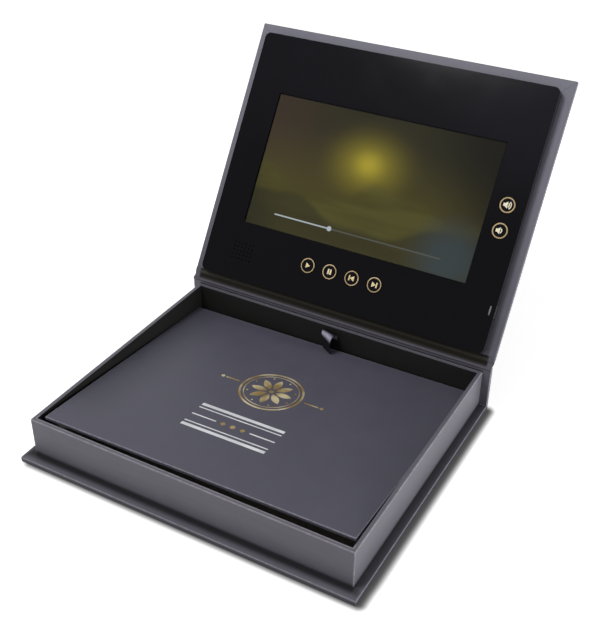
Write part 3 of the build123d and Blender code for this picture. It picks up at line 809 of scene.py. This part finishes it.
def pictureFinish():
    made = Finish("display_picture", lidPlace)
    middle = nodeBox("screen_window", lidPlace)[0]
    x = made.x - middle.x
    y = made.y - middle.y

    def away(place, flat=1.0):
        fromX, fromY = x - place[0], y - place[1]
        return (fromX * fromX + fromY * fromY * flat).root()

    def ridge(length, height, shift):
        return ((x + shift).wave(length) - 0.5) * (2 * height)

    def ridges(hill):
        first, second = hill["ridges"]
        return ridge(*first) + ridge(*second)

    def glow(flat, reach, strength):
        near = made.fade(away(picture["glowPlace"], flat), reach, 0)
        return near * near * strength

    shown = made.mix(picture["left"], picture["top"], made.fade(x + y * 0.4, -70, 0))
    shown = made.mix(shown, picture["haze"], made.fade(y, 34, -16) * 0.55)
    shown = made.mix(shown, picture["glow"], glow(*picture["glowWide"]) + glow(*picture["glowTight"]))
    far, near = picture["farHill"], picture["nearHill"]
    slow = made.noise(40, 1, made.stretch(1, 0, 0))
    farHeight = ridges(far) + (slow - 0.5) * picture["farRough"] - far["level"]
    nearHeight = ridges(near) - near["level"]
    mist = made.noise(9, 2, made.stretch(0.12, 1, 0))
    hill = made.mix(picture["far"], picture["ground"], made.fade(mist, 0.35, 0.65))
    shown = made.mix(shown, hill, made.fade(y - farHeight, *far["edge"]) * far["depth"])
    shown = made.mix(shown, picture["near"], made.fade(y - nearHeight, *near["edge"]) * near["depth"])
    for lean, start, end, depth in picture["duskSides"]:
        shown = made.mix(shown, picture["dusk"], made.fade(x + y * lean, start, end) * depth)
    cool = made.fade(away(picture["coolPlace"]), *picture["coolReach"]) * picture["coolDepth"]
    shown = made.mix(shown, picture["cool"], cool)
    barHalf, playedX, barY = (picture[key] for key in ("barHalf", "playedX", "barY"))
    barLine = made.fade((y - barY).size(), *picture["barThick"]) * made.fade(x.size(), barHalf, barHalf - 0.2)
    played = barLine * made.fade(x, playedX + 1, playedX)
    knob = made.fade(away((playedX, barY)), *picture["knob"])
    shown = made.mix(shown, picture["line"], barLine)
    shown = made.mix(shown, picture["bar"], played.most(knob))
    litX, litY = display["litHalf"]
    lit = made.fade(litX - x.size(), 0, 0.2) * made.fade(litY - y.size(), 0, 0.2)
    shown = made.mix(black, shown, lit)
    rough = made.noise(30, 1) * 0.03 + 0.12
    lit = {"emissionColor": shown, "emissionStrength": display["glow"]}
    return made.finish(display["glass"], rough, specular=blackFace["specular"], **lit)


def addDisplay():
    middle, half = nodeBox("lcd_glass", lidPlace)
    low, high = middle.z - half.z + display["drop"], middle.z + half.z - display["drop"]
    width, height = 2 * half.x - display["edge"], 2 * half.y - display["edge"]
    piece = bar(middle.x, middle.y, width, height, low, high, display["soften"])
    settle(piece, "display_glass", lidPlace, "lid", pictureFinish())
    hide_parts("lcd_glass")


addDisplay()
print("display is lit")

# foil on the inner board: a rosette in two rings, side rules, and printed rules under it
ornament = {
    "middle": (-3, 91), "lift": 0.04, "sink": 0.02, "ringSides": 96,
    "ringOuter": 19.6, "ringStroke": 1.25, "thinRing": 16.9, "thinStroke": 0.6, "hub": 1.5,
    "petals": 8, "petalFrom": 2.9, "petalTo": 13.4, "petalWidth": 4.5, "bead": 0.55, "beadPlace": 14.4,
    "ruleLength": 9, "ruleWidth": 1.1, "ruleGap": 2.6, "tipGap": 2.2, "tip": 3.0,
    "rowY": -43.5, "rowDisc": 1.6, "rowDiamond": 3.6, "rowPlace": 6.4,
    "lightRules": (
        (0, -32.5, 54, 2.4), (0, -36, 54, 0.9), (-19, -43.5, 16, 1.0), (19, -43.5, 16, 1.0),
        (0, -51, 54, 0.9), (0, -54.5, 54, 2.4),
    ),
}


def leaf(length, width, low, high):  # a pointed petal along y, from 0
    turns = [i / 8 for i in range(9)]
    right = [(width / 2 * math.sin(math.pi * t) ** 0.8, length * t) for t in turns]
    left = [(-x, y) for x, y in right[1:-1]][::-1]
    return plate(right + left, low, high)


def diamond(x, y, size, low, high):
    return plate([(x - size / 2, y), (x, y - size / 2), (x + size / 2, y), (x, y + size / 2)], low, high)


def addOrnament():
    boardMiddle, boardHalf = nodeBox("flap_wrap", boardPlace)
    top = boardMiddle.z + boardHalf.z
    low, high = top - ornament["sink"], top + ornament["lift"]
    gold = [
        ring(ornament["ringOuter"], ornament["ringStroke"], low, high, ornament["ringSides"]),
        ring(ornament["thinRing"], ornament["thinStroke"], low, high, ornament["ringSides"]),
        disc(0, 0, ornament["hub"], low, high),
    ]
    petal = leaf(ornament["petalTo"] - ornament["petalFrom"], ornament["petalWidth"], low, high)
    petal.data.transform(Matrix.Translation((0, ornament["petalFrom"], 0)))
    bead = disc(0, 0, ornament["bead"], low, high, sides=20)
    bead.data.transform(Matrix.Translation((0, ornament["beadPlace"], 0)))
    for i in range(ornament["petals"]):
        gold.append(copyTurned(petal, 360 * i / ornament["petals"]))
        gold.append(copyTurned(bead, 360 * (i + 0.5) / ornament["petals"]))
    bpy.data.objects.remove(petal)
    bpy.data.objects.remove(bead)
    length, rowY = ornament["ruleLength"], ornament["rowY"]
    ruleStart = ornament["ringOuter"] + ornament["ruleGap"]
    for side in (-1, 1):
        gold.append(bar(side * (ruleStart + length / 2), 0, length, ornament["ruleWidth"], low, high))
        gold.append(diamond(side * (ruleStart + length + ornament["tipGap"]), 0, ornament["tip"], low, high))
        gold.append(diamond(side * ornament["rowPlace"], rowY, ornament["rowDiamond"], low, high))
    gold.append(disc(0, rowY, ornament["rowDisc"], low, high))
    light = [bar(*rule, low, high) for rule in ornament["lightRules"]]
    prints = ((gold, "board_gold_foil", boardGold), (light, "board_white_print", boardWhite))
    for pieces, name, material in prints:
        piece = joinAll(pieces)
        piece.data.transform(Matrix.Translation((*ornament["middle"], 0)))
        settle(piece, name, boardPlace, "inner_board", material)


addOrnament()
print("inner board is printed")

# paper strips over the fold, from the spine's top to the lid
foldStrips = {
    "rows": 28, "columns": 12, "thickness": 0.25, "smooth": 40, "innerWidth": 211.6, "outerWidth": 211.4,
    "innerLine": (
        (86.04, 29.7), (86.04, 30.9), (86.7, 31.25), (87.75, 31.5), (88.6, 32.45),
        (89.1, 33.6), (89.3, 34.72), (89.95, 35.77), (90.6, 36.8),
    ),
    "innerBend": (2, 6),  # points of the line where the bend starts and ends
    "outerLine": ((88.3, 31.22), (89.35, 31.3), (90.4, 31.65), (91.2, 32.2), (91.78, 32.98)),
    "outerBend": (0, 4),
}
# the inner strip's paper and its painted shade, in shares of its width and of its way from the spine to the lid
foldPaperAndShade = {
    "colour": tone(36, 34, 29), "pale": tone(74, 71, 64), "paintedShade": tone(14, 13, 12),
    "roughness": 0.5, "specular": 0.07,
    "ends": (0.487, 0.480), "darkStart": (0.14, 0.44), "palePlace": 0.76, "paleWidth": 0.16,
    "creasePlace": 0.5, "creaseWidth": (0.07, 0.01), "gutter": (0.08, 0.03),
}


def alongLine(points, share):  # a smooth way through the points of a fold, share 0 to 1
    place = share * (len(points) - 1)
    i = min(int(place), len(points) - 2)
    t = place - i
    before = Vector(points[max(i - 1, 0)])
    start, end = Vector(points[i]), Vector(points[i + 1])
    after = Vector(points[min(i + 2, len(points) - 1)])
    a = (3 * start - before - 3 * end + after) * 0.5
    b = (2 * before - 5 * start + 4 * end - after) * 0.5
    return ((a * t + b) * t + (end - before) * 0.5) * t + start


def thicken(piece, thickness, smooth, subdivide=False):  # a sheet's thickness and rounding, applied
    solid = piece.modifiers.new("thickness", "SOLIDIFY")
    solid.thickness = thickness
    solid.offset = 0
    if subdivide:
        rounder = piece.modifiers.new("smooth", "SUBSURF")
        rounder.levels = rounder.render_levels = 1
    selectOnly(piece)
    for name in [modifier.name for modifier in piece.modifiers]:
        bpy.ops.object.modifier_apply(modifier=name)
    bpy.ops.object.shade_smooth_by_angle(angle=math.radians(smooth))


def flatGrid(look):
    rows, columns = look["rows"], look["columns"]
    bpy.ops.mesh.primitive_grid_add(x_subdivisions=columns, y_subdivisions=rows, size=1, location=(0, 0, 0))
    return bpy.context.object


def addFoldStrip(side, material):
    line, width = foldStrips[side + "Line"], foldStrips[side + "Width"]
    piece = flatGrid(foldStrips)
    for vertex in piece.data.vertices:
        y, z = alongLine(line, vertex.co.y + 0.5)
        vertex.co = (vertex.co.x * width * mm, y * mm, z * mm)
    thicken(piece, foldStrips["thickness"] * mm, foldStrips["smooth"])
    piece.name = side + "_fold_strip"
    piece.data.materials.append(material)
    start, end = (line[i] for i in foldStrips[side + "Bend"])
    start[0] * mm
    start[1] * mm
    end[0] * mm
    end[1] * mm
    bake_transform(piece)
    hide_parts(side + "_hinge_paper")


def foldFinish():  # painted shade: dark paper on the lid's side of the fold stands in for shade, with a pale painted highlight band and painted shade at the fold's middle and by the spine; the cover's paper from the middle of the fold to the spine
    made = Finish("inner_fold_paper", flat=True)
    fibre = made.noise(1, 3, made.stretch(60, 6, 1))
    fine = made.noise(1, 2, made.stretch(900, 40, 1))
    outer, look, paintedShade = coverPaper["colour"], foldPaperAndShade["colour"], foldPaperAndShade["paintedShade"]
    cover = made.mix(shade(outer, 0.75), shade(outer, 1.1), fibre * 0.6 + fine * 0.4)
    dark = made.mix(shade(look, 0.7), shade(look, 1.3), fibre * 0.7 + fine * 0.3)
    inside = made.fade((made.x - 0.5).size(), *foldPaperAndShade["ends"])  # the painted shade stops short of both ends
    pale = made.fade((made.y - foldPaperAndShade["palePlace"]).size(), foldPaperAndShade["paleWidth"], 0.0)
    dark = made.mix(dark, foldPaperAndShade["pale"], pale * 0.8)
    colour = made.mix(cover, dark, made.fade(made.y, *foldPaperAndShade["darkStart"]) * inside)
    folded = made.fade((made.y - foldPaperAndShade["creasePlace"]).size(), *foldPaperAndShade["creaseWidth"])
    colour = made.mix(colour, paintedShade, folded * inside * 0.7)
    colour = made.mix(colour, paintedShade, made.fade(made.y, *foldPaperAndShade["gutter"]) * 0.6 * inside)
    rough = fine * 0.15 + foldPaperAndShade["roughness"]
    return made.finish(colour, rough, fibre + fine, 0.02, specular=foldPaperAndShade["specular"])


addFoldStrip("inner", foldFinish())
addFoldStrip("outer", paperFinish("outer_fold_paper", coverPaper, worldPlace, streakAlong="x"))
print("fold strips are in place")

# satin ribbon: from under the board's back edge, up behind it, over and down to the board
ribbon = {
    "width": 10, "thickness": 0.32, "shift": 3.0, "glued": 7.0, "under": 0.22, "edgeRadius": 0.7, "gap": 0.7,
    "foot": 0.5, "height": 14.6, "headroom": 0.2, "loop": 6.0, "sag": 0.25, "belly": 0.5, "landing": 0.3,
    "freeFrom": 8, "cup": 0.8, "lean": 1.1, "twist": 34, "twistStart": 0.37, "twistLength": 0.33,
    "rows": 90, "columns": 8, "smooth": 50,
}
satin = {
    "dark": tone(10, 10, 13), "colour": tone(26, 26, 31), "sheen": tone(206, 202, 226), "sheenDepth": 0.9,
    "sheenWidth": 0.08, "sheenPlace": 0.07, "backPlace": 0.2, "backWidth": 0.07, "backShare": 0.5,
    "warp": 96, "weft": 260, "selvedge": (0.455, 0.47), "roughness": 0.4, "specular": 0.12, "depth": 0.025,
}


def ribbonLine(boardLength, boardTop):  # along the board and up from it, in millimetres
    radius, edgeRadius = ribbon["loop"] / 2, ribbon["edgeRadius"]
    back = boardLength + ribbon["gap"]
    front = back - 2 * radius
    low, top = ribbon["foot"], ribbon["height"] - radius - ribbon["headroom"]
    foot = boardTop + ribbon["landing"]
    edgeHeight = edgeRadius - ribbon["under"]

    def wave(i, steps):
        return math.sin(math.pi * i / steps)

    def turned(degrees):
        return math.cos(math.radians(degrees)), math.sin(math.radians(degrees))

    line = [(boardLength - ribbon["glued"] * (1 - i / 8), -ribbon["under"]) for i in range(9)]
    for c, s in (turned(a) for a in (30, 60, 90)):
        line.append((boardLength + edgeRadius * s, edgeHeight - edgeRadius * c))
    for i in range(1, 10):
        line.append((back + ribbon["sag"] * wave(i, 10), low + (top - low) * i / 10))
    for c, s in (turned(a) for a in range(0, 181, 12)):
        line.append((back - radius + radius * c, top + radius * s))
    for i in range(1, 10):
        line.append((front - ribbon["belly"] * wave(i, 9) + 0.5 * (i / 9), top + (foot - top) * i / 9))
    for i in (1, 2):
        line.append((front + 0.5 + 0.6 * i, foot - 0.03 * i))
    return line


def satinFinish(bend):  # bend: the top of the loop, as a share of the ribbon's length
    made = Finish("black_satin_ribbon", flat=True)
    weave = (made.x * satin["warp"]).wave(1) * 0.35 + (made.y * satin["weft"]).wave(1) * 0.65
    selvedge = made.fade((made.x - 0.5).size(), *satin["selvedge"])
    patches = made.noise(0.12, 2)
    # painted sheen: a highlight over the loop's bend, and a weaker one on the inside of its back fall
    place = bend + satin["sheenPlace"]
    front = made.fade((made.y - place - made.x * 0.02).size(), satin["sheenWidth"], 0.0)
    behind = made.fade((made.y - place + satin["backPlace"]).size(), satin["backWidth"], 0.0)
    sheen = front.most(behind * satin["backShare"]) * (0.55 + 0.45 * patches) * (1 - selvedge * 0.6)
    colour = made.mix(satin["dark"], satin["colour"], weave * 0.6 + patches * 0.4)
    colour = made.mix(colour, satin["sheen"], sheen * satin["sheenDepth"])
    rough = satin["roughness"] + weave * 0.1 + selvedge * 0.15
    return made.finish(colour, rough, weave + selvedge * 2, satin["depth"], specular=satin["specular"])


def shapeRibbon(piece, line, steps):
    total, freeFrom = steps[-1], ribbon["freeFrom"]
    for vertex in piece.data.vertices:
        across, length = vertex.co.x, (vertex.co.y + 0.5) * total
        i = max(n for n in range(len(steps) - 1) if steps[n] <= length + 1e-9)
        t = (length - steps[i]) / (steps[i + 1] - steps[i])
        along = line[i][0] * (1 - t) + line[i + 1][0] * t
        height = line[i][1] * (1 - t) + line[i + 1][1] * t
        free = min(1, max(0, (length - freeFrom) / 8)) * min(1, max(0, (total - length) / 4 + 0.3))
        bow = (0.25 - across * across) * ribbon["cup"] * free  # the satin cups a little across its width
        risen = min(1, max(0, (length - freeFrom) / (total - freeFrom)))
        lean = -ribbon["lean"] * free * math.sin(math.pi * risen)
        turned = min(1, max(0, risen - ribbon["twistStart"]) / ribbon["twistLength"])
        turn = math.radians(ribbon["twist"]) * turned  # the front fall turns a little sideways
        side = across * ribbon["width"]
        x = ribbon["shift"] + side * math.cos(turn) + lean
        vertex.co = (x, along + bow * 0.5 - side * math.sin(turn), height + bow * 0.4)


def addRibbon():
    boardMiddle, boardHalf = nodeBox("flap_wrap", boardPlace)
    line = ribbonLine(boardMiddle.y + boardHalf.y, boardMiddle.z + boardHalf.z)
    steps = [0]
    for first, second in zip(line, line[1:]):
        steps.append(steps[-1] + math.dist(first, second))
    piece = flatGrid(ribbon)
    shapeRibbon(piece, line, steps)
    thicken(piece, ribbon["thickness"], ribbon["smooth"], subdivide=True)
    top = max(range(len(line)), key=lambda i: line[i][1])
    material = satinFinish(steps[top] / steps[-1])
    settle(piece, "ribbon_loop", boardPlace, "inner_board", material)
    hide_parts("ribbon_pull")
    print("ribbon length", round(steps[-1], 1), "mm")


addRibbon()
print("ribbon is in place")

# small fittings of the panel: gauze behind the speaker's holes, the mark by the socket, its contacts
fittings = {
    "gauze": (21.4, 12.4), "gauzeHeight": (4.5, 4.8), "gauzeSoften": 0.05, "gauzePitch": 0.5,
    "gauzeDark": tone(12, 12, 12), "gauzePale": tone(58, 58, 60),
    "markInset": 3.0, "markSize": (0.8, 4.9), "markSink": 0.02, "markLift": 0.03,
    "contacts": 5, "contactPitch": 0.7, "contactSize": (3.4, 0.34),
    "contactInset": 2.3, "contactHeight": (0.28, 0.33),
}


def gauzeFinish():
    made = Finish("black_speaker_gauze", lidPlace)
    pitch = fittings["gauzePitch"]
    weave = (made.x + made.y).wave(pitch) * (made.x - made.y).wave(pitch)
    colour = made.mix(fittings["gauzeDark"], fittings["gauzePale"], weave)
    return made.finish(colour, 0.5, weave, 0.08, metallic=weave * 0.4, specular=0.3)


def addGauze():
    middle = nodeBox("speaker", lidPlace)[0]
    gauze = bar(middle.x, middle.y, *fittings["gauze"], *fittings["gauzeHeight"], fittings["gauzeSoften"])
    settle(gauze, "speaker_gauze", lidPlace, "lid", gauzeFinish())


def addSocketMark():
    middle, half = nodeBox("panel_face", lidPlace)
    top, (width, length) = middle.z + half.z, fittings["markSize"]
    low, high = top - fittings["markSink"], top + fittings["markLift"]
    x, y = middle.x + half.x - fittings["markInset"], nodeBox("usb_socket", lidPlace)[0].y
    stroke = [disc(x, y + side * length / 2, width / 2, low, high, sides=16) for side in (-1, 1)]
    stroke.append(bar(x, y, width, length, low, high))
    material = foilFinish("pale_socket_mark", lidPlace)
    settle(joinAll(stroke), "socket_mark", lidPlace, "lid", material)


def addContacts():
    middle, half = nodeBox("usb_socket", lidPlace)
    x = middle.x + half.x - fittings["contactInset"]
    low, high = (middle.z + height for height in fittings["contactHeight"])
    count = fittings["contacts"]
    places = [middle.y + (i - (count - 1) / 2) * fittings["contactPitch"] for i in range(count)]
    contacts = joinAll([bar(x, y, *fittings["contactSize"], low, high) for y in places])
    material = metalFinish("gold_contacts", innerColours["contact"], 0.2)
    settle(contacts, "socket_contacts", lidPlace, "lid", material)


addGauze()
addSocketMark()
addContacts()
print("fittings are in place")
